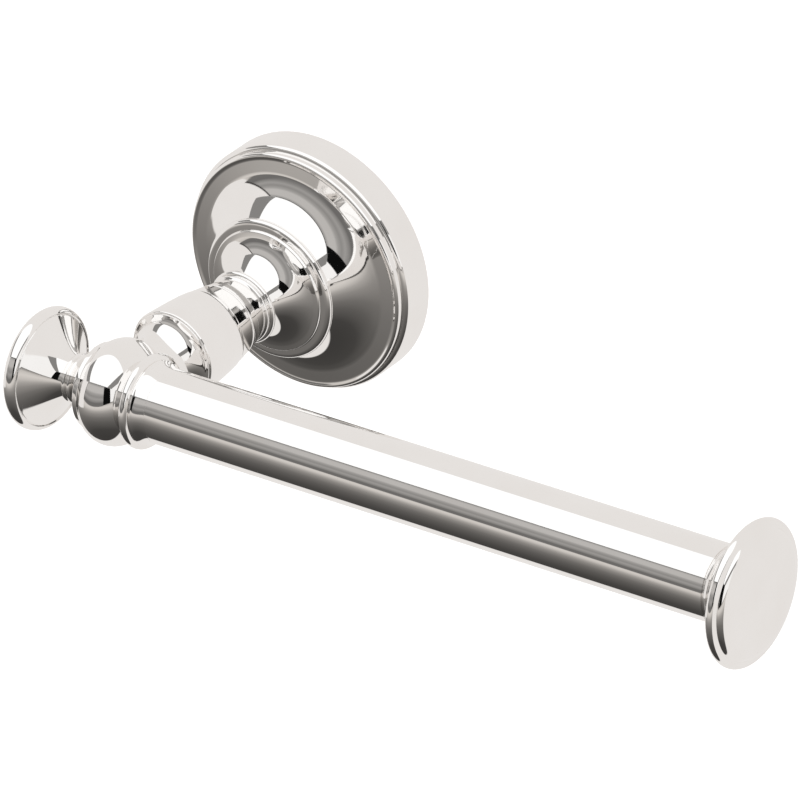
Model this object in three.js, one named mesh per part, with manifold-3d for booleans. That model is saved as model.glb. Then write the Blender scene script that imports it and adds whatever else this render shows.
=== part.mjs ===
// Toilet paper holder: a turned wall post carrying one fixed open arm.
// Millimetres. X runs along the arm, +Y goes into the wall, +Z is up.
// The wall is the plane y = 0 and the post stands along -Y from the origin.
import * as THREE from "three";
import { mergeVertices } from "three/addons/utils/BufferGeometryUtils.js";
import Module from "manifold-3d";

const wasm = await Module();
wasm.setup();

// Overall sizes
const PROJECTION = 77.5; // wall to the arm's axis
const FLANGE_R = 31.5;
const FLANGE_RIM_DEPTH = 9.1;
const BEAD_RING_R = 17.9;
const BARREL_R = 11.4;
const HUB_R = 12.8;
const HUB_HALF_WIDTH = 8.6; // the hub is a ball flattened along the arm
const ARM_R = 9;
const ARM_WALL = 1;
const END_DISC_R = 17.2;
const DISC_FOOT_R = 10.4; // where the end neck meets the disc
const FINIAL_R = 14.8;
const FINIAL_COLLAR_R = 10.5;

// Stations along the post, measured out from the wall
const WEB_BACK = 15.4;
const WEB_FRONT = 18.6;
const BELL_START = 21.4;
const COLLAR_START = 30;
const SLEEVE_START = 33;
const BARREL_START = 44;
const NOSE_START = 58.2;
const NOSE_END = 68;

// Stations along the arm, measured from the hub's centre
const ARM_BEAD_START = 6.6;
const FLARE_START = 9.8;
const ARM_START = 13.6;
const ARM_END = 166.6;
const DISC_START = 169.2;
const DISC_EDGE = 174;
const INSERT_LENGTH = 14;

// Stations along the finial, measured the other way from the hub's centre
const FINIAL_COLLAR_START = 4.6;
const FINIAL_NECK_START = 8.6;
const FINIAL_START = 13.3;
const FINIAL_EDGE = 22.8;

// Fits and fastenings
const CLEARANCE = 0.3;
const ROD_R = 3;
const STUD_R = 2.4;
const ROD_END = PROJECTION - 4; // the post's rod stops this far from the wall
const ROD_BORE_R = ROD_R + CLEARANCE;
const STUD_BORE_R = STUD_R + CLEARANCE;
const STUD_INNER_END = 1.6; // the arm's and finial's studs start this far from the hub's centre
const NOSE_R = 5.9; // where the nose meets the hub
const SPIGOT_R = 11; // the bell's spigot inside the bead ring
const SHELL = 3;
const PLATE_R = 21;
const PLATE_THICK = 2.4;
const PLATE_LIP_DEPTH = 6.2;
const SCREW_OFFSET = 9; // each wall screw sits this far across and this far up or down
const SCREW_SHANK_R = 1.9;
const SCREW_HOLE_R = 2.5;
const SCREW_HEAD_R = 4;
const SCREW_HEAD_HEIGHT = 2.6;
const SCREW_LENGTH = 25; // reach into the wall
const ANCHOR_R = 3.5;
const ANCHOR_LENGTH = 22;
const SET_SCREW_R = 2;
const SET_SCREW_HOLE_R = SET_SCREW_R + CLEARANCE;
const SET_SCREW_STATION = 4;
const SET_SCREW_LENGTH = 9;
const LUG_R = 3.8;
const LUG_LENGTH = 7;
const NUT_ACROSS_CORNERS_R = 6.1;
const NUT_THICK = 3.4;
const WASHER_R = 6.6;
const WASHER_THICK = 1;

// Segments round a turned piece
const FINE = 36;
const MEDIUM = 24;
const COARSE = 12;

// Materials
const polished = () => new THREE.MeshStandardMaterial({ color: 0xe6e3df, roughness: 0.08, metalness: 1 });
const brass = () => new THREE.MeshStandardMaterial({ color: 0xb9975b, roughness: 0.35, metalness: 1 });
const steel = () => new THREE.MeshStandardMaterial({ color: 0x9a9b9c, roughness: 0.4, metalness: 1 });
const plastic = () => new THREE.MeshStandardMaterial({ color: 0xd8d6cf, roughness: 0.6, metalness: 0 });

// Points on an arc in the profile plane, [radius, station] pairs, angles in degrees from the radius axis.
function arc(centreR, centreS, radius, from, to, steps) {
  const points = [];
  for (let i = 0; i <= steps; i++) {
    const a = THREE.MathUtils.degToRad(from + ((to - from) * i) / steps);
    points.push([centreR + radius * Math.cos(a), centreS + radius * Math.sin(a)]);
  }
  return points;
}

// A smooth run between two profile points: a quadratic curve pulled towards a third point.
function sweep(start, pull, end, steps) {
  const curve = new THREE.QuadraticBezierCurve(
    new THREE.Vector2(...start),
    new THREE.Vector2(...pull),
    new THREE.Vector2(...end),
  );
  return curve.getPoints(steps).map((p) => [p.x, p.y]);
}

// A solid of revolution about +Y: the outer run goes up in station, the bore is straight.
function turned(outer, bore, segments) {
  const first = outer[0];
  const last = outer[outer.length - 1];
  const inner = bore > 0 ? bore : 0;
  const closed = [[inner, first[1]], ...outer, [inner, last[1]]];
  if (bore > 0) closed.push([inner, first[1]]);
  return revolve(closed, segments);
}

function revolve(profile, segments) {
  const points = profile.map(([r, s]) => new THREE.Vector2(r, s));
  return new THREE.LatheGeometry(points, segments);
}

function solid(geometry) {
  const plain = geometry.clone();
  plain.deleteAttribute("normal");
  plain.deleteAttribute("uv");
  const merged = mergeVertices(plain, 1e-4);
  return new wasm.Manifold(
    new wasm.Mesh({
      numProp: 3,
      vertProperties: merged.attributes.position.array,
      triVerts: new Uint32Array(merged.index.array),
    }),
  );
}

function geometryOf(manifold) {
  const mesh = manifold.getMesh();
  const geometry = new THREE.BufferGeometry();
  geometry.setAttribute("position", new THREE.BufferAttribute(mesh.vertProperties, 3));
  geometry.setIndex(new THREE.BufferAttribute(mesh.triVerts, 1));
  geometry.computeVertexNormals();
  return geometry;
}

function piece(name, geometry, material) {
  const mesh = new THREE.Mesh(geometry, material);
  mesh.name = name;
  return mesh;
}

// Profiles on the post are written with stations going out from the wall; the lathe then turns about -Y.
function onPost(geometry) {
  return geometry.rotateX(Math.PI);
}

// Profiles on the arm are written with stations along +X from the hub's centre.
function onArm(geometry) {
  return geometry.rotateZ(-Math.PI / 2).translate(0, -PROJECTION, 0);
}

// Profiles on the finial are written with stations along -X from the hub's centre.
function onFinial(geometry) {
  return geometry.rotateZ(Math.PI / 2).translate(0, -PROJECTION, 0);
}

// ---- Fixed to the wall ----

function wallPlate() {
  const lipInner = PLATE_R - 2.2;
  const dish = revolve(
    [
      [0, 0],
      [PLATE_R, 0],
      [PLATE_R, PLATE_LIP_DEPTH],
      [lipInner, PLATE_LIP_DEPTH],
      [lipInner, PLATE_THICK],
      [0, PLATE_THICK],
    ],
    FINE,
  );
  let body = solid(onPost(dish));
  for (const side of [-1, 1]) {
    const hole = new THREE.CylinderGeometry(SCREW_HOLE_R, SCREW_HOLE_R, PLATE_THICK * 3, COARSE);
    body = body.subtract(solid(hole.translate(side * SCREW_OFFSET, 0, -side * SCREW_OFFSET)));
  }
  return piece("wall_plate", geometryOf(body), steel());
}

function wallScrew(name, side) {
  const top = PLATE_THICK + SCREW_HEAD_HEIGHT;
  const edge = 1.2;
  const recessR = 1.5;
  const profile = [
    [0, -SCREW_LENGTH],
    [SCREW_SHANK_R, -SCREW_LENGTH + 4],
    [SCREW_SHANK_R, PLATE_THICK],
    [SCREW_HEAD_R, PLATE_THICK],
    ...arc(SCREW_HEAD_R - edge, top - edge, edge, 0, 90, 3),
    [recessR, top],
    [recessR, PLATE_THICK + 1],
    [0, PLATE_THICK + 1],
  ];
  const screw = piece(name, onPost(revolve(profile, COARSE)), steel());
  screw.position.set(side * SCREW_OFFSET, 0, -side * SCREW_OFFSET);
  return screw;
}

function wallAnchor(name, side) {
  const bore = SCREW_SHANK_R + CLEARANCE;
  const ribs = 4;
  const ribDepth = 0.8;
  const collar = 2;
  const pitch = (ANCHOR_LENGTH - collar) / ribs;
  const outer = [];
  for (let i = 0; i < ribs; i++) {
    const start = -ANCHOR_LENGTH + i * pitch;
    outer.push([ANCHOR_R - ribDepth, start], [ANCHOR_R, start + pitch * 0.8]);
  }
  outer.push([ANCHOR_R - ribDepth, -collar], [ANCHOR_R, -collar + ribDepth], [ANCHOR_R, -CLEARANCE]);
  const anchor = piece(name, onPost(turned(outer, bore, COARSE)), plastic());
  anchor.position.set(side * SCREW_OFFSET, 0, -side * SCREW_OFFSET);
  return anchor;
}

// ---- Post, from the wall outwards ----

function wallFlange() {
  const rimInner = FLANGE_R - SHELL;
  const rimRound = 1.2;
  const profile = [
    [rimInner, 0],
    [FLANGE_R - 0.4, 0],
    [FLANGE_R, 0.4],
    ...arc(FLANGE_R - rimRound, FLANGE_RIM_DEPTH - rimRound, rimRound, 0, 90, 4),
    [FLANGE_R - rimRound, FLANGE_RIM_DEPTH + 0.4],
    ...arc(29.5, 10.3, 0.8, 0, 90, 3),
    [28.8, 10.9],
    [26, 11.2],
    ...sweep([24.9, 11.5], [19.4, 13], [16, WEB_FRONT], 9),
    [ROD_BORE_R, WEB_FRONT],
    [ROD_BORE_R, WEB_BACK],
    [12.4, WEB_BACK],
    ...sweep([12.8, 14], [14.4, 10], [18.4, 8], 4),
    [rimInner - 1.6, 7.4],
    [rimInner, 5.8],
    [rimInner, 0],
  ];
  const shell = solid(onPost(revolve(profile, FINE)));
  const lug = radialBar(LUG_R, LUG_LENGTH, FLANGE_R - 4.6);
  const hole = radialBar(SET_SCREW_HOLE_R, LUG_LENGTH * 3, FLANGE_R);
  return piece("wall_flange", geometryOf(shell.add(lug).subtract(hole)), polished());
}

// A short bar standing radially under the flange, on the set screw's axis.
function radialBar(radius, length, centreR) {
  const bar = new THREE.CylinderGeometry(radius, radius, length, COARSE);
  return solid(bar.rotateX(Math.PI / 2).translate(0, -SET_SCREW_STATION, -centreR));
}

function setScrew() {
  const tip = PLATE_R + CLEARANCE;
  const profile = [
    [0, 0],
    [SET_SCREW_R * 0.5, 0],
    [SET_SCREW_R, SET_SCREW_R * 0.5],
    [SET_SCREW_R, SET_SCREW_LENGTH],
    [0, SET_SCREW_LENGTH],
  ];
  const socketR = 1.15;
  const socketDepth = 3;
  const socket = new THREE.CylinderGeometry(socketR, socketR, socketDepth, 6);
  const seat = socket.translate(0, SET_SCREW_LENGTH - socketDepth / 2 + 0.01, 0);
  const body = solid(revolve(profile, COARSE)).subtract(solid(seat));
  const geometry = geometryOf(body).rotateX(-Math.PI / 2).translate(0, -SET_SCREW_STATION, -tip);
  return piece("set_screw", geometry, steel());
}

function postPiece(name, outer, bore, material, segments) {
  return piece(name, onPost(turned(outer, bore, segments)), material);
}

function beadRing() {
  const middle = (WEB_FRONT + BELL_START) / 2 + 0.2;
  const outer = [
    [15.8, WEB_FRONT],
    [16.6, WEB_FRONT + 0.5],
    ...arc(BEAD_RING_R - 1.1, middle, 1.1, -60, 60, 5),
    [16.6, BELL_START],
  ];
  return postPiece("bead_ring", outer, SPIGOT_R + CLEARANCE, polished(), FINE);
}

function neckBell() {
  const outer = [
    [SPIGOT_R, WEB_FRONT],
    [SPIGOT_R, BELL_START],
    [15.6, BELL_START],
    [15.3, BELL_START + 0.6],
    [14.2, BELL_START + 0.75],
    ...sweep([13.8, BELL_START + 0.85], [8.6, BELL_START + 2.1], [6.3, COLLAR_START - 0.6], 9),
    [7.6, COLLAR_START - 0.3],
    [7.8, COLLAR_START],
  ];
  return postPiece("neck_bell", outer, ROD_BORE_R, polished(), MEDIUM);
}

function neckCollar() {
  const outer = [
    [7.8, COLLAR_START],
    ...arc(8.4, 30.8, 0.8, -60, 60, 4),
    [8.3, 31.6],
    ...arc(7.9, 32.2, 0.6, -30, 60, 3),
    [7.9, SLEEVE_START],
  ];
  return postPiece("neck_collar", outer, ROD_BORE_R, polished(), MEDIUM);
}

function taperSleeve() {
  const grooveStation = 39.2;
  const groove = 0.3;
  const outer = [
    [8.1, SLEEVE_START],
    [9.3, grooveStation - groove],
    [9.3 - groove / 2, grooveStation],
    [9.4, grooveStation + groove],
    [10.15, BARREL_START],
  ];
  return postPiece("taper_sleeve", outer, ROD_BORE_R, polished(), MEDIUM);
}

function barrel() {
  const outer = [
    [10.2, BARREL_START],
    [10.6, BARREL_START + 2.4],
    ...sweep([10.7, BARREL_START + 3.4], [11.1, 51.5], [BARREL_R, NOSE_START - 0.4], 3),
    [BARREL_R - 0.2, NOSE_START],
  ];
  return postPiece("barrel", outer, ROD_BORE_R, polished(), MEDIUM);
}

// The nose is cut back on one side, where the finial's collar reaches over it.
function noseCove() {
  const outer = [
    [BARREL_R - 0.5, NOSE_START],
    ...sweep([BARREL_R - 0.6, NOSE_START + 0.3], [NOSE_R + 0.1, NOSE_START + 0.9], [NOSE_R, NOSE_END], 7),
  ];
  const nose = solid(onPost(turned(outer, ROD_BORE_R, MEDIUM)));
  const reliefR = FINIAL_COLLAR_R + CLEARANCE;
  const length = 6;
  const relief = new THREE.CylinderGeometry(reliefR, reliefR, length, FINE).rotateZ(Math.PI / 2);
  relief.translate(CLEARANCE - FINIAL_COLLAR_START - length / 2, -PROJECTION, 0);
  return piece("nose_cove", geometryOf(nose.subtract(solid(relief))), polished());
}

function postRod() {
  const back = WEB_BACK - WASHER_THICK - NUT_THICK - 1.6;
  const outer = [
    [ROD_R - 0.4, back],
    [ROD_R, back + 0.4],
    [ROD_R, ROD_END],
  ];
  return postPiece("post_rod", outer, 0, steel(), COARSE);
}

function postWasher() {
  const back = WEB_BACK - WASHER_THICK;
  const outer = [
    [WASHER_R, back],
    [WASHER_R, WEB_BACK],
  ];
  return postPiece("post_washer", outer, ROD_BORE_R, steel(), COARSE);
}

function postNut() {
  const hex = new THREE.CylinderGeometry(NUT_ACROSS_CORNERS_R, NUT_ACROSS_CORNERS_R, NUT_THICK, 6);
  const bore = new THREE.CylinderGeometry(ROD_BORE_R, ROD_BORE_R, NUT_THICK * 2, COARSE);
  const nut = geometryOf(solid(hex).subtract(solid(bore)));
  const station = WEB_BACK - WASHER_THICK - NUT_THICK / 2;
  return piece("post_nut", nut.translate(0, -station, 0), steel());
}

// ---- Hub at the corner ----

function hubBall() {
  const steps = 14;
  const width = ARM_BEAD_START + FINIAL_COLLAR_START;
  const outer = [];
  for (let i = 0; i <= steps; i++) {
    const station = (i / steps) * width - FINIAL_COLLAR_START;
    outer.push([HUB_R * Math.sqrt(1 - (station / HUB_HALF_WIDTH) ** 2), station]);
  }
  let ball = solid(onArm(turned(outer, 0, FINE)));
  const reach = HUB_R * 2;
  const seat = new THREE.CylinderGeometry(NOSE_R + CLEARANCE, NOSE_R + CLEARANCE, reach, MEDIUM);
  ball = ball.subtract(solid(seat.translate(0, -NOSE_END + reach / 2, 0)));
  const rodDepth = ROD_END + CLEARANCE;
  const rodHole = new THREE.CylinderGeometry(ROD_BORE_R, ROD_BORE_R, rodDepth, COARSE);
  ball = ball.subtract(solid(rodHole.translate(0, -rodDepth / 2, 0)));
  for (const side of [-1, 1]) {
    const hole = new THREE.CylinderGeometry(STUD_BORE_R, STUD_BORE_R, reach, COARSE);
    const across = side * (STUD_INNER_END - CLEARANCE + reach / 2);
    ball = ball.subtract(solid(hole.rotateZ(Math.PI / 2).translate(across, -PROJECTION, 0)));
  }
  return piece("hub_ball", geometryOf(ball), polished());
}

// ---- Arm ----

function armPiece(name, outer, bore, material, segments) {
  return piece(name, onArm(turned(outer, bore, segments)), material);
}

function armBead() {
  const outer = [
    [ARM_R, ARM_BEAD_START],
    [10.1, ARM_BEAD_START + 0.6],
    [10.1, ARM_BEAD_START + 1],
    ...arc(10.4, ARM_BEAD_START + 2, 1, -70, 70, 4),
    [10.2, FLARE_START],
  ];
  return armPiece("arm_bead", outer, STUD_BORE_R, polished(), MEDIUM);
}

function armFlare() {
  const outer = [
    [10, FLARE_START],
    [10.2, FLARE_START + 0.3],
    ...sweep([10.1, FLARE_START + 0.6], [9.1, FLARE_START + 1.6], [ARM_R, ARM_START], 4),
  ];
  return armPiece("arm_flare", outer, STUD_BORE_R, polished(), MEDIUM);
}

function armTube() {
  const outer = [
    [ARM_R, ARM_START],
    [ARM_R, ARM_END],
  ];
  return armPiece("arm_tube", outer, ARM_R - ARM_WALL, polished(), FINE);
}

function armInsert(name, start) {
  const radius = ARM_R - ARM_WALL - 0.1;
  const outer = [
    [radius, start],
    [radius, start + INSERT_LENGTH],
  ];
  return armPiece(name, outer, STUD_BORE_R, brass(), MEDIUM);
}

function armStud(name, start, end) {
  const outer = [
    [STUD_R, start],
    [STUD_R, end],
  ];
  return armPiece(name, outer, 0, steel(), COARSE);
}

function endNeck() {
  const outer = [
    [ARM_R - 0.25, ARM_END],
    [ARM_R - 0.25, ARM_END + 0.4],
    ...sweep([ARM_R - 0.1, ARM_END + 0.6], [ARM_R, ARM_END + 1.6], [DISC_FOOT_R, DISC_START], 3),
  ];
  return armPiece("end_neck", outer, STUD_BORE_R, polished(), MEDIUM);
}

function endDisc() {
  const rimR = 0.95;
  const faceStart = DISC_EDGE + 1;
  const crown = DISC_EDGE + 2.6;
  const profile = [
    [0, DISC_EDGE - 1],
    [STUD_BORE_R, DISC_EDGE - 1],
    [STUD_BORE_R, DISC_START],
    [DISC_FOOT_R, DISC_START],
    ...sweep([DISC_FOOT_R + 0.6, DISC_START + 0.4], [14.6, DISC_START + 2.1], [16.4, DISC_EDGE - 0.9], 3),
    ...arc(END_DISC_R - rimR, DISC_EDGE, rimR, -65, 60, 4),
    [15.8, faceStart],
    ...sweep([15.7, faceStart + 0.1], [14.9, crown - 0.75], [12, crown - 0.25], 4),
    ...sweep([11, crown - 0.2], [6, crown], [1, crown], 3),
    [0, crown],
  ];
  return piece("end_disc", onArm(revolve(profile, FINE)), polished());
}

// ---- Finial ----

function finialPiece(name, outer, bore, material, segments) {
  return piece(name, onFinial(turned(outer, bore, segments)), material);
}

function finialCollar() {
  const outer = [
    [10, FINIAL_COLLAR_START],
    [FINIAL_COLLAR_R, FINIAL_COLLAR_START + 0.3],
    [10.4, FINIAL_COLLAR_START + 1.5],
    [9.6, FINIAL_COLLAR_START + 1.8],
    ...sweep([9.2, FINIAL_COLLAR_START + 1.9], [5.4, FINIAL_COLLAR_START + 2.2], [4.8, FINIAL_NECK_START], 5),
  ];
  return finialPiece("finial_collar", outer, STUD_BORE_R, polished(), MEDIUM);
}

function finialNeck() {
  const waistR = 4.7;
  const outer = [
    [waistR, FINIAL_NECK_START],
    [waistR, FINIAL_NECK_START + 1.6],
    ...arc(5.3, FINIAL_NECK_START + 2.5, 0.7, -70, 70, 3),
    ...arc(5.3, FINIAL_NECK_START + 3.9, 0.7, -70, 70, 3),
    [waistR, FINIAL_START],
  ];
  return finialPiece("finial_neck", outer, STUD_BORE_R, polished(), MEDIUM);
}

function finialDisc() {
  const rimR = 1.9;
  const crown = 24.5;
  const profile = [
    [0, FINIAL_EDGE - 1.8],
    [STUD_BORE_R, FINIAL_EDGE - 1.8],
    [STUD_BORE_R, FINIAL_START],
    [4.7, FINIAL_START],
    ...sweep([4.8, FINIAL_START + 0.2], [5.9, 16], [13.1, 20], 6),
    [13.2, 20.2],
    ...arc(FINIAL_R - rimR, 21.7, rimR, -70, 75, 5),
    [13.1, 23.6],
    ...sweep([12.9, 23.7], [6.8, crown], [1, crown], 4),
    [0, crown],
  ];
  return piece("finial_disc", onFinial(revolve(profile, MEDIUM)), polished());
}

function finialStud() {
  const outer = [
    [STUD_R, STUD_INNER_END],
    [STUD_R, FINIAL_EDGE - 2.2],
  ];
  return finialPiece("finial_stud", outer, 0, steel(), COARSE);
}

// ---- Assembly ----

const wallMount = new THREE.Group();
wallMount.name = "wall_mount";
wallMount.add(
  wallPlate(),
  wallScrew("wall_screw_upper", -1),
  wallScrew("wall_screw_lower", 1),
  wallAnchor("wall_anchor_upper", -1),
  wallAnchor("wall_anchor_lower", 1),
);

const post = new THREE.Group();
post.name = "post";
post.add(
  wallFlange(),
  beadRing(),
  neckBell(),
  neckCollar(),
  taperSleeve(),
  barrel(),
  noseCove(),
  postRod(),
  postWasher(),
  postNut(),
);

const arm = new THREE.Group();
arm.name = "arm";
arm.add(
  hubBall(),
  armBead(),
  armFlare(),
  armTube(),
  armInsert("hub_insert", ARM_START),
  armInsert("end_insert", ARM_END - INSERT_LENGTH),
  armStud("arm_stud", STUD_INNER_END, ARM_START + INSERT_LENGTH - 2),
  armStud("end_stud", ARM_END - INSERT_LENGTH + 2, DISC_EDGE - 1.4),
  endNeck(),
  endDisc(),
);

const finial = new THREE.Group();
finial.name = "finial";
finial.add(finialCollar(), finialNeck(), finialDisc(), finialStud());

const holder = new THREE.Group();
holder.name = "toilet_paper_holder";
holder.add(wallMount, post, arm, finial, setScrew());

export default holder;
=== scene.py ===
import math

import bmesh
import bpy
from mathutils import Matrix, Vector


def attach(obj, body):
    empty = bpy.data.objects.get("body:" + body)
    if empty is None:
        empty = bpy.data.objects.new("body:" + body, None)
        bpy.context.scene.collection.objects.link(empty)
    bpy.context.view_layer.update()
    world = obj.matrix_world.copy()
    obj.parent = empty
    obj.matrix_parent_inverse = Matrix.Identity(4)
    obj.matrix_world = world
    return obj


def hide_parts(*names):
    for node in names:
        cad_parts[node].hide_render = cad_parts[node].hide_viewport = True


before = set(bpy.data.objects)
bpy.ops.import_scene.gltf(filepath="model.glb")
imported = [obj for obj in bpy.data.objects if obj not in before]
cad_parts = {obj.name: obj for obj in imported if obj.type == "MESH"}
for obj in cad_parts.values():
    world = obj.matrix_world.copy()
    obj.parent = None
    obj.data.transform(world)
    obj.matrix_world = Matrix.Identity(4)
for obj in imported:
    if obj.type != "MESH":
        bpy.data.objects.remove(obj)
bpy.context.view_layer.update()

MM = 0.001
SEGMENTS = 160  # round a turned piece
ON_AXIS = 1e-6  # a smaller radius counts as a point on the axis
PROJECTION = 77.5  # wall to the arm's axis
SET_SCREW_STATION = 4  # wall to the set screw's axis
ROD_BORE_R = 3.3
STUD_BORE_R = 2.7
RING_BORE_R = 11.3

# ---- Profile helpers: [radius, station] pairs in millimetres ----


def arc(centre_r, centre_s, radius, start, end, steps=12):
    """Points on an arc, angles in degrees from the radius axis."""
    points = []
    for i in range(steps + 1):
        a = math.radians(start + (end - start) * i / steps)
        points.append((centre_r + radius * math.cos(a), centre_s + radius * math.sin(a)))
    return points


def sweep(start, pull, end, steps=20):
    """A smooth run between two points, pulled towards a third."""
    points = []
    for i in range(steps + 1):
        t = i / steps
        weights = ((1 - t) ** 2, 2 * t * (1 - t), t * t)
        points.append(
            tuple(
                weights[0] * start[k] + weights[1] * pull[k] + weights[2] * end[k]
                for k in (0, 1)
            )
        )
    return points


def softened(profile, radius, closed, steps=5, least_turn=20):
    """The profile with each real corner, in degrees of turn, made into a small round."""
    shortest = 1e-6
    out = []
    n = len(profile)
    for i, p in enumerate(profile):
        if not closed and i in (0, n - 1):
            out.append(p)
            continue
        here = Vector(p)
        back = Vector(profile[i - 1]) - here
        ahead = Vector(profile[(i + 1) % n]) - here
        if back.length < shortest or ahead.length < shortest:
            continue
        turn = 180 - math.degrees(back.angle(ahead))
        if turn < least_turn or p[0] < ON_AXIS:
            out.append(p)
            continue
        cut = min(radius, back.length * 0.45, ahead.length * 0.45)
        start = here + back.normalized() * cut
        end = here + ahead.normalized() * cut
        out.extend(sweep(start, here, end, steps))
    return out


def ring_of(bm, radius, station, segments):
    if radius < ON_AXIS:
        return [bm.verts.new((0.0, 0.0, station))]
    ring = []
    for k in range(segments):
        a = 2 * math.pi * k / segments
        ring.append(bm.verts.new((radius * math.cos(a), radius * math.sin(a), station)))
    return ring


def bridge(bm, low, high, segments):
    """Faces between two rings, either of which may be a single point."""
    if len(low) == 1 and len(high) == 1:
        return
    for k in range(segments):
        j = (k + 1) % segments
        if len(low) == 1:
            bm.faces.new((low[0], high[j], high[k]))
        elif len(high) == 1:
            bm.faces.new((low[k], low[j], high[0]))
        else:
            bm.faces.new((low[k], low[j], high[j], high[k]))


def lathe(name, profile, place, round_to=0.18, segments=SEGMENTS):
    """A closed solid of revolution. The profile runs round the section; its ends may lie on the axis."""
    closed = profile[0][0] >= ON_AXIS or profile[-1][0] >= ON_AXIS
    bm = bmesh.new()
    rings = [ring_of(bm, r, s, segments) for r, s in softened(profile, round_to, closed)]
    if closed:
        rings.append(rings[0])
    for low, high in zip(rings, rings[1:]):
        bridge(bm, low, high, segments)
    bmesh.ops.recalc_face_normals(bm, faces=bm.faces)
    bmesh.ops.transform(bm, matrix=place @ Matrix.Scale(MM, 4), verts=bm.verts)
    mesh = bpy.data.meshes.new(name)
    bm.to_mesh(mesh)
    bm.free()
    mesh.shade_smooth()
    piece = bpy.data.objects.new(name, mesh)
    bpy.context.scene.collection.objects.link(piece)
    return piece


def crisp(piece):
    """Flat faces stay flat beside their small rounds."""
    weighted = piece.modifiers.new("weighted_normals", "WEIGHTED_NORMAL")
    weighted.mode = "FACE_AREA"
    weighted.weight = 50
    weighted.keep_sharp = True


# Post profiles stand out from the wall along -Y, arm profiles run along +X, finial profiles along -X.
ON_POST = Matrix.Rotation(math.radians(90), 4, "X")
AT_HUB = Matrix.Translation((0, -PROJECTION * MM, 0))
ON_ARM = AT_HUB @ Matrix.Rotation(math.radians(90), 4, "Y")
ON_FINIAL = AT_HUB @ Matrix.Rotation(math.radians(-90), 4, "Y")

# ---- Materials ----


class Paint:
    """A Principled material driven by noise textures in the object's own coordinates."""

    def __init__(self, name):
        self.material = bpy.data.materials.new(name)
        self.material.use_nodes = True
        self.nodes = self.material.node_tree.nodes
        self.links = self.material.node_tree.links
        self.shader = self.nodes["Principled BSDF"]
        self.coords = self.nodes.new("ShaderNodeTexCoord")

    def noise(self, scale, detail=2.0, space="Object"):
        node = self.nodes.new("ShaderNodeTexNoise")
        node.inputs["Scale"].default_value = scale
        node.inputs["Detail"].default_value = detail
        self.links.new(self.coords.outputs[space], node.inputs["Vector"])
        return node.outputs["Fac"]

    def colour(self, value, low, dark, high, light):
        """Dark tone where the value is low, light tone where it is high."""
        node = self.nodes.new("ShaderNodeValToRGB")
        for element, position, tone in zip(node.color_ramp.elements, (low, high), (dark, light)):
            element.position = position
            element.color = (*tone, 1)
        self.links.new(value, node.inputs["Fac"])
        self.links.new(node.outputs["Color"], self.shader.inputs["Base Color"])

    def roughness(self, value, smooth, rough, low=0.0, high=1.0):
        node = self.nodes.new("ShaderNodeMapRange")
        node.inputs["From Min"].default_value = low
        node.inputs["From Max"].default_value = high
        node.inputs["To Min"].default_value = smooth
        node.inputs["To Max"].default_value = rough
        self.links.new(value, node.inputs["Value"])
        self.links.new(node.outputs["Result"], self.shader.inputs["Roughness"])

    def bump(self, value, strength, distance):
        node = self.nodes.new("ShaderNodeBump")
        node.inputs["Strength"].default_value = strength
        node.inputs["Distance"].default_value = distance
        self.links.new(value, node.inputs["Height"])
        self.links.new(node.outputs["Normal"], self.shader.inputs["Normal"])


def polished_metal():
    """Mirror plate: warm, with faint polishing haze and hairline wipe marks."""
    paint = Paint("polished_plate")
    paint.shader.inputs["Metallic"].default_value = 1.0
    haze = paint.noise(90.0, 6.0)
    paint.roughness(haze, 0.025, 0.06, 0.35, 0.75)
    paint.colour(haze, 0.3, (0.93, 0.915, 0.9), 0.75, (0.955, 0.945, 0.935))
    paint.bump(paint.noise(900.0, 3.0), 0.004, 0.0002)
    return paint.material


def worked_metal(name, dark, light, smooth, rough, scale):
    """Plated or turned metal with fine grain and blotchy tone."""
    paint = Paint(name)
    paint.shader.inputs["Metallic"].default_value = 1.0
    blotch = paint.noise(scale, 8.0)
    paint.colour(blotch, 0.35, dark, 0.7, light)
    paint.roughness(blotch, smooth, rough)
    paint.bump(paint.noise(scale * 12), 0.15, 0.0001)
    return paint.material


def moulded_plastic():
    """Cloudy nylon with a slightly uneven moulded skin."""
    paint = Paint("moulded_nylon")
    paint.shader.inputs["Subsurface Weight"].default_value = 0.1
    cloud = paint.noise(220.0, 5.0)
    paint.colour(cloud, 0.3, (0.62, 0.61, 0.57), 0.75, (0.72, 0.71, 0.68))
    paint.roughness(cloud, 0.45, 0.65)
    paint.bump(cloud, 0.2, 0.0002)
    return paint.material


PLATE = polished_metal()
STEEL = worked_metal("zinc_plated_steel", (0.42, 0.42, 0.43), (0.62, 0.62, 0.63), 0.22, 0.42, 160)
BRASS = worked_metal("turned_brass", (0.55, 0.38, 0.16), (0.75, 0.56, 0.27), 0.2, 0.38, 140)
NYLON = moulded_plastic()

# ---- Turned pieces ----


def finish_piece(piece, node):
    piece.data.materials.append(PLATE)
    crisp(piece)
    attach(piece, "holder")
    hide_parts(node)


def turned(node, profile, place, round_to=0.18):
    """A plated piece of the holder that stands in for the node of the same name."""
    finish_piece(lathe(node + "_form", profile, place, round_to), node)


def with_bore(outer, bore):
    return [(bore, outer[0][1]), *outer, (bore, outer[-1][1])]


def radial_bar(radius, start, end):
    """A round bar hanging under the post on the set screw's axis, between two radii."""
    place = Matrix.Translation((0, -SET_SCREW_STATION * MM, 0)) @ Matrix.Rotation(math.pi, 4, "X")
    profile = [(0.0, start), (radius, start), (radius, end), (0.0, end)]
    return lathe("bar", profile, place, 0.0, 48)


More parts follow.
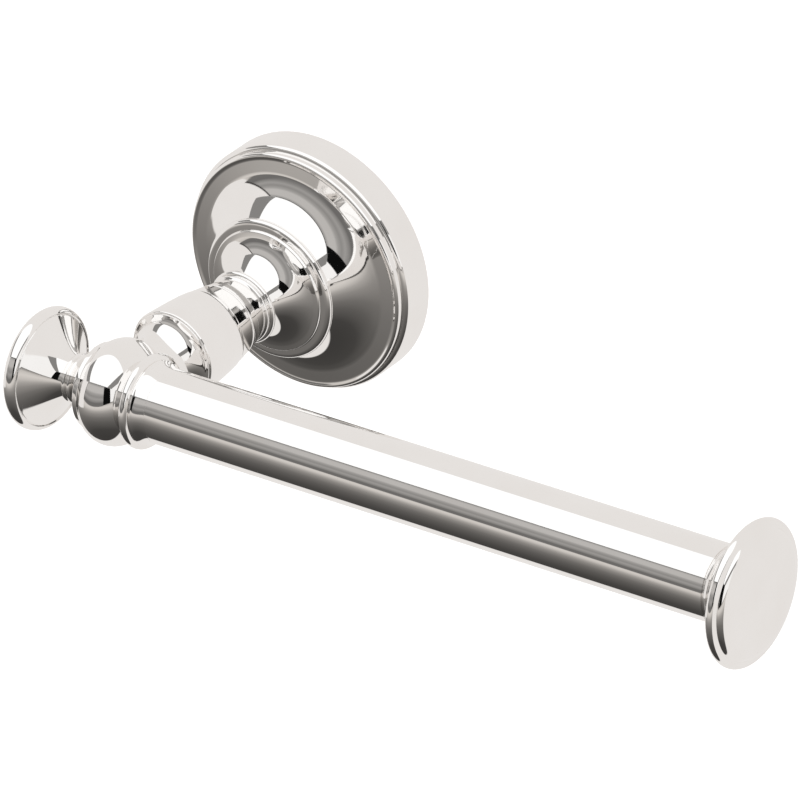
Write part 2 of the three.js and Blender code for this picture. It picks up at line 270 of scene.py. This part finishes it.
def combine(piece, tool, operation):
    """Cut or join with a tool, which is then removed."""
    boolean = piece.modifiers.new("combine", "BOOLEAN")
    boolean.operation = operation
    boolean.object = tool
    boolean.solver = "EXACT"
    depsgraph = bpy.context.evaluated_depsgraph_get()
    mesh = bpy.data.meshes.new_from_object(piece.evaluated_get(depsgraph))
    piece.modifiers.clear()
    piece.data = mesh
    bpy.data.objects.remove(tool)


def wall_flange():
    """Deep rim, step, narrow ring and dish, with a drilled lug for the set screw inside."""
    rim = 31.5
    rim_round = 1.2
    inside = 28.5
    web_back = 15.4
    web_front = 18.6
    profile = [
        (inside, 0.0),
        (31.1, 0.0),
        (rim, 0.4),
        *arc(rim - rim_round, 7.9, rim_round, 0, 90),
        (30.3, 9.5),
        *arc(29.5, 10.3, 0.8, 0, 90, 8),
        (28.8, 10.9),
        *sweep((26.2, 11.2), (25.5, 11.25), (24.9, 11.45), 6),
        *sweep((24.8, 11.48), (19.4, 13.0), (16, web_front)),
        (ROD_BORE_R, web_front),
        (ROD_BORE_R, web_back),
        (12.4, web_back),
        *sweep((12.8, 14), (14.4, 10), (18.4, 8)),
        (26.9, 7.4),
        (inside, 5.8),
    ]
    flange = lathe("wall_flange_form", profile, ON_POST, 0.25)
    lug = radial_bar(3.8, 23.4, 30.4)
    combine(flange, lug, "UNION")
    screw_hole = radial_bar(2.3, 15, 40)
    combine(flange, screw_hole, "DIFFERENCE")
    flange.data.set_sharp_from_angle(angle=math.radians(30))
    finish_piece(flange, "wall_flange")


def post_pieces():
    ring = [(15.8, 18.6), (16.6, 19.1), *arc(16.8, 20.2, 1.1, -60, 60), (16.6, 21.4)]
    turned("bead_ring", with_bore(ring, RING_BORE_R), ON_POST)
    bell = [
        (11.0, 18.6),
        (11.0, 21.4),
        (15.6, 21.4),
        (15.3, 22.0),
        (14.2, 22.15),
        *sweep((13.8, 22.25), (8.6, 23.5), (6.3, 29.4)),
        (7.6, 29.7),
        (7.8, 30),
    ]
    turned("neck_bell", with_bore(bell, ROD_BORE_R), ON_POST)
    collar = [
        (7.8, 30),
        *arc(8.4, 30.8, 0.8, -60, 60),
        (8.3, 31.6),
        *arc(7.9, 32.2, 0.6, -30, 60),
        (7.9, 33),
    ]
    turned("neck_collar", with_bore(collar, ROD_BORE_R), ON_POST, 0.12)
    sleeve = [(8.1, 33), (9.3, 38.9), (9.15, 39.2), (9.4, 39.5), (10.15, 44)]
    turned("taper_sleeve", with_bore(sleeve, ROD_BORE_R), ON_POST, 0.12)
    body = [
        (10.2, 44),
        *sweep((10.25, 44.2), (10.45, 45.2), (10.6, 46.4)),
        *sweep((10.7, 47.4), (11.1, 51.5), (11.4, 57.8)),
        (11.2, 58.2),
    ]
    turned("barrel", with_bore(body, ROD_BORE_R), ON_POST)
    nose = [(10.9, 58.2), *sweep((10.8, 58.5), (6, 59.1), (5.9, 68.6))]
    turned("nose_cove", with_bore(nose, ROD_BORE_R), ON_POST, 0.1)


def hub():
    """A ball flattened along the arm, cut flat where the arm and the finial join it."""
    radius = 12.8
    half_width = 8.6
    finial_face = -4.6
    arm_face = 6.6
    steps = 60
    skin = []
    for i in range(steps + 1):
        station = finial_face + (arm_face - finial_face) * i / steps
        skin.append((radius * math.sqrt(1 - (station / half_width) ** 2), station))
    turned("hub_ball", [(0.0, finial_face), *skin, (0.0, arm_face)], ON_ARM, 0.25)


def arm_pieces():
    bead = [(9, 6.6), (10.1, 7.2), (10.1, 7.6), *arc(10.4, 8.6, 1, -70, 70), (10.2, 9.8)]
    turned("arm_bead", with_bore(bead, STUD_BORE_R), ON_ARM)
    flare = [(10, 9.8), (10.2, 10.1), *sweep((10.1, 10.4), (9.1, 11.4), (9, 13.6))]
    turned("arm_flare", with_bore(flare, STUD_BORE_R), ON_ARM, 0.05)
    tube = [(9, 13.6), (9, 166.6), (8, 166.6), (8, 13.6)]
    turned("arm_tube", tube, ON_ARM, 0.05)
    neck = [(8.75, 166.6), (8.75, 167), *sweep((8.9, 167.2), (9, 168.2), (10.4, 169.2))]
    turned("end_neck", with_bore(neck, STUD_BORE_R), ON_ARM)
    disc = [
        (0.0, 173),
        (STUD_BORE_R, 173),
        (STUD_BORE_R, 169.2),
        (10.4, 169.2),
        *sweep((11, 169.6), (14.6, 171.3), (16.3, 172.9)),
        *arc(15.99, 174, 1.2, -65, 50),
        (15.4, 175.1),
        *sweep((15.3, 175.2), (14.7, 176.25), (13.5, 176.42)),
        *sweep((13.4, 176.43), (6, 176.59), (0.6, 176.59), 30),
        (0.0, 176.59),
    ]
    turned("end_disc", disc, ON_ARM, 0.12)


def finial_pieces():
    collar = [
        (10, 4.6),
        (10.5, 4.9),
        (10.4, 6.1),
        (9.6, 6.4),
        *sweep((9.2, 6.5), (5.4, 6.8), (4.8, 8.6)),
    ]
    turned("finial_collar", with_bore(collar, STUD_BORE_R), ON_FINIAL)
    neck = [
        (4.7, 8.6),
        (4.7, 10.2),
        *arc(5.3, 11.1, 0.7, -70, 70),
        *arc(5.3, 12.5, 0.7, -70, 70),
        (4.7, 13.3),
    ]
    turned("finial_neck", with_bore(neck, STUD_BORE_R), ON_FINIAL, 0.12)
    disc = [
        (0.0, 21),
        (STUD_BORE_R, 21),
        (STUD_BORE_R, 13.3),
        (4.7, 13.3),
        *sweep((4.8, 13.5), (5.9, 16), (13.1, 20), 30),
        (13.2, 20.2),
        *arc(12.9, 21.7, 1.9, -70, 75),
        (13.1, 23.6),
        *sweep((12.9, 23.65), (6.8, 24.5), (0.6, 24.5), 30),
        (0.0, 24.5),
    ]
    turned("finial_disc", disc, ON_FINIAL, 0.12)


wall_flange()
post_pieces()
hub()
arm_pieces()
finial_pieces()

HIDDEN = {
    "wall_plate": STEEL,
    "wall_screw_upper": STEEL,
    "wall_screw_lower": STEEL,
    "wall_anchor_upper": NYLON,
    "wall_anchor_lower": NYLON,
    "post_rod": STEEL,
    "post_washer": STEEL,
    "post_nut": STEEL,
    "hub_insert": BRASS,
    "end_insert": BRASS,
    "arm_stud": STEEL,
    "end_stud": STEEL,
    "finial_stud": STEEL,
    "set_screw": STEEL,
}
for node, material in HIDDEN.items():
    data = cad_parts[node].data
    data.materials.clear()
    data.materials.append(material)

# ---- Floor, light and camera ----


def pale_floor():
    """Lit a little from within so it meets the white backdrop; the polished metal doesn't see it."""
    bm = bmesh.new()
    bmesh.ops.create_grid(bm, x_segments=8, y_segments=8, size=8.0)
    mesh = bpy.data.meshes.new("floor")
    bm.to_mesh(mesh)
    bm.free()
    floor = bpy.data.objects.new("floor", mesh)
    floor.location = (0, 0, -0.6)
    bpy.context.scene.collection.objects.link(floor)
    paper = Paint("floor_paper")
    paper.shader.inputs["Roughness"].default_value = 0.9
    paper.shader.inputs["Emission Color"].default_value = (1, 1, 1, 1)
    paper.shader.inputs["Emission Strength"].default_value = 0.35
    grain = paper.noise(3.0, space="Generated")
    paper.colour(grain, 0.0, (0.93, 0.93, 0.93), 1.0, (0.95, 0.95, 0.95))
    mesh.materials.append(paper.material)
    floor.visible_glossy = False


class Sky:
    """The studio round the object, painted by direction: a backdrop tone and crisp-edged panels."""

    def __init__(self):
        world = bpy.data.worlds.new("studio")
        bpy.context.scene.world = world
        world.use_nodes = True
        self.tree = world.node_tree
        self.nodes = self.tree.nodes
        self.links = self.tree.links
        self.nodes.clear()
        coords = self.nodes.new("ShaderNodeTexCoord")
        self.direction = coords.outputs["Generated"]
        self.tone = None

    def math(self, operation, a, b):
        node = self.nodes.new("ShaderNodeMath")
        node.operation = operation
        for i, value in enumerate((a, b)):
            if isinstance(value, (int, float)):
                node.inputs[i].default_value = value
            else:
                self.links.new(value, node.inputs[i])
        return node.outputs[0]

    def dot(self, axis):
        node = self.nodes.new("ShaderNodeVectorMath")
        node.operation = "DOT_PRODUCT"
        self.links.new(self.direction, node.inputs[0])
        node.inputs[1].default_value = axis
        return node.outputs["Value"]

    def ramp(self, value, stops):
        node = self.nodes.new("ShaderNodeValToRGB")
        ramp = node.color_ramp
        while len(ramp.elements) < len(stops):
            ramp.elements.new(0.5)
        for element, (position, tone) in zip(ramp.elements, stops):
            element.position = position
            element.color = (*tone, 1)
        self.links.new(value, node.inputs["Fac"])
        return node.outputs["Color"]

    def mix(self, mask, under, over):
        node = self.nodes.new("ShaderNodeMix")
        node.data_type = "RGBA"
        self.links.new(mask, node.inputs["Factor"])
        self.links.new(under, node.inputs[6])
        if isinstance(over, tuple):
            node.inputs[7].default_value = (*over, 1)
        else:
            self.links.new(over, node.inputs[7])
        return node.outputs[2]

    def soft_step(self, value, start, end):
        edge = self.nodes.new("ShaderNodeMapRange")
        edge.inputs["From Min"].default_value = start
        edge.inputs["From Max"].default_value = end
        self.links.new(value, edge.inputs["Value"])
        return edge.outputs["Result"]

    def box(self, facing, side, rise, across, along, tone, soft=0.012):
        """A flat panel square to one direction; its extents are tangents along side and rise."""
        depth = self.dot(facing)
        mask = self.math("GREATER_THAN", depth, 0.001)
        for axis, (low, high) in ((side, across), (rise, along)):
            offset = self.math("DIVIDE", self.dot(axis), depth)
            for edge, turn in ((low, 1), (high, -1)):
                step = self.soft_step(offset, edge - soft * turn, edge + soft * turn)
                mask = self.math("MULTIPLY", mask, step)
        self.tone = self.mix(mask, self.tone, tone)

    def finish(self):
        """The camera sees plain white; everything else is lit by the painted studio."""
        seen = self.nodes.new("ShaderNodeBackground")
        seen.inputs["Color"].default_value = (1, 1, 1, 1)
        seen.inputs["Strength"].default_value = 1.0
        lit = self.nodes.new("ShaderNodeBackground")
        self.links.new(self.tone, lit.inputs["Color"])
        path = self.nodes.new("ShaderNodeLightPath")
        choose = self.nodes.new("ShaderNodeMixShader")
        self.links.new(path.outputs["Is Camera Ray"], choose.inputs[0])
        self.links.new(lit.outputs[0], choose.inputs[1])
        self.links.new(seen.outputs[0], choose.inputs[2])
        out = self.nodes.new("ShaderNodeOutputWorld")
        self.links.new(choose.outputs[0], out.inputs["Surface"])


def warm(tone, depth=1.0):
    """A grey with the plate's warm cast, stronger where depth is 1."""
    return (tone * (1 + 0.04 * depth), tone * (1 - 0.012 * depth), tone * (1 - 0.065 * depth))


# Floor tone against the sine of the elevation: bright at the horizon, dark straight below.
FLOOR_TONES = [
    (-1.0, 0.045),
    (-0.845, 0.055),
    (-0.754, 0.082),
    (-0.648, 0.11),
    (-0.52, 0.16),
    (-0.384, 0.265),
    (-0.303, 0.38),
    (-0.233, 0.55),
    (-0.161, 0.65),
    (-0.1, 0.55),
    (-0.05, 0.14),
]
# Front wall tone against its height over its distance.
WALL_TONES = [
    (-0.1, 0.16),
    (-0.02, 0.15),
    (0.035, 0.24),
    (0.123, 0.34),
    (0.213, 0.27),
    (0.306, 0.35),
    (0.384, 0.5),
    (0.6, 0.5),
    (0.7, 0.3),
]
BACKDROP = (0.83, 0.805, 0.785)
WHITE = (1.12, 1.12, 1.12)
SIDE_WALL = (0.96, 0.95, 0.94)
FLAG = (0.004, 0.004, 0.004)


def studio():
    sky = Sky()
    up = sky.dot((0, 0, 1))
    height = sky.math("MULTIPLY", sky.math("ADD", up, 1.0), 0.5)
    floor = sky.ramp(height, [((z + 1) / 2, warm(tone)) for z, tone in FLOOR_TONES])
    floor_edge = FLOOR_TONES[-1][0]
    above = sky.math("GREATER_THAN", up, floor_edge)
    front = sky.mix(above, floor, SIDE_WALL)
    behind = sky.soft_step(sky.dot((0, 1, 0)), 0.0, 0.03)
    sky.tone = sky.mix(behind, front, BACKDROP)
    rise = sky.math("DIVIDE", up, sky.dot((0, -1, 0)))
    low = WALL_TONES[0][0]
    span = 1.0 - low
    wall_height = sky.math("DIVIDE", sky.math("SUBTRACT", rise, low), span)
    wall = sky.ramp(wall_height, [((z - low) / span, warm(tone, 0.6)) for z, tone in WALL_TONES])
    # Side panel
    sky.box((-1, 0, 0), (0, 1, 0), (0, 0, 1), (-0.85, 0.2), (-0.42, 1.2), BACKDROP)
    # Front wall, its dark edge, and the black flag on its other side
    front_view = ((0, -1, 0), (1, 0, 0), (0, 0, 1))
    sky.box(*front_view, (-1.2, 0.7), (-0.14, 0.71), wall)
    sky.box(*front_view, (-1.27, -1.19), (-0.14, 0.71), warm(0.06))
    sky.box(*front_view, (0.69, 1.45), (-0.12, 0.72), FLAG)
    # Overhead: a grey frame, a thin dark border and the white softbox inside it
    overhead_view = ((0, 0, 1), (1, 0, 0), (0, 1, 0))
    sky.box(*overhead_view, (-2.9, 2.3), (-1.4, 0.16), warm(0.24, 0.5))
    sky.box(*overhead_view, (-1.42, 1.42), (-1.42, 0.2), warm(0.06, 0.5))
    sky.box(*overhead_view, (-1.4, 1.4), (-1.36, 0.2), WHITE)
    sky.finish()


def camera():
    data = bpy.data.cameras.new("camera")
    sensor = 36.0
    focal_over_width = 9.804875
    data.sensor_width = sensor
    data.lens = focal_over_width * sensor
    data.shift_x = -0.003
    data.shift_y = -0.00075
    data.clip_start = 0.05
    data.clip_end = 50
    eye = bpy.data.objects.new("camera", data)
    bpy.context.scene.collection.objects.link(eye)
    azimuth = math.radians(37.72)
    elevation = math.radians(29.43)
    roll = math.radians(-3.46)
    distance = 1.80036
    target = Vector((0.05139, -0.03874, -0.00603))
    level = math.cos(elevation)
    back = Vector((math.sin(azimuth) * level, -math.cos(azimuth) * level, math.sin(elevation)))
    right = Vector((math.cos(azimuth), math.sin(azimuth), 0))
    up = back.cross(right)
    rolled_right = right * math.cos(roll) + up * math.sin(roll)
    rolled_up = up * math.cos(roll) - right * math.sin(roll)
    turn = Matrix((rolled_right, rolled_up, back)).transposed().to_4x4()
    eye.matrix_world = Matrix.Translation(target + back * distance) @ turn
    bpy.context.scene.camera = eye


pale_floor()
studio()
camera()
bpy.context.scene.view_settings.view_transform = "Standard"
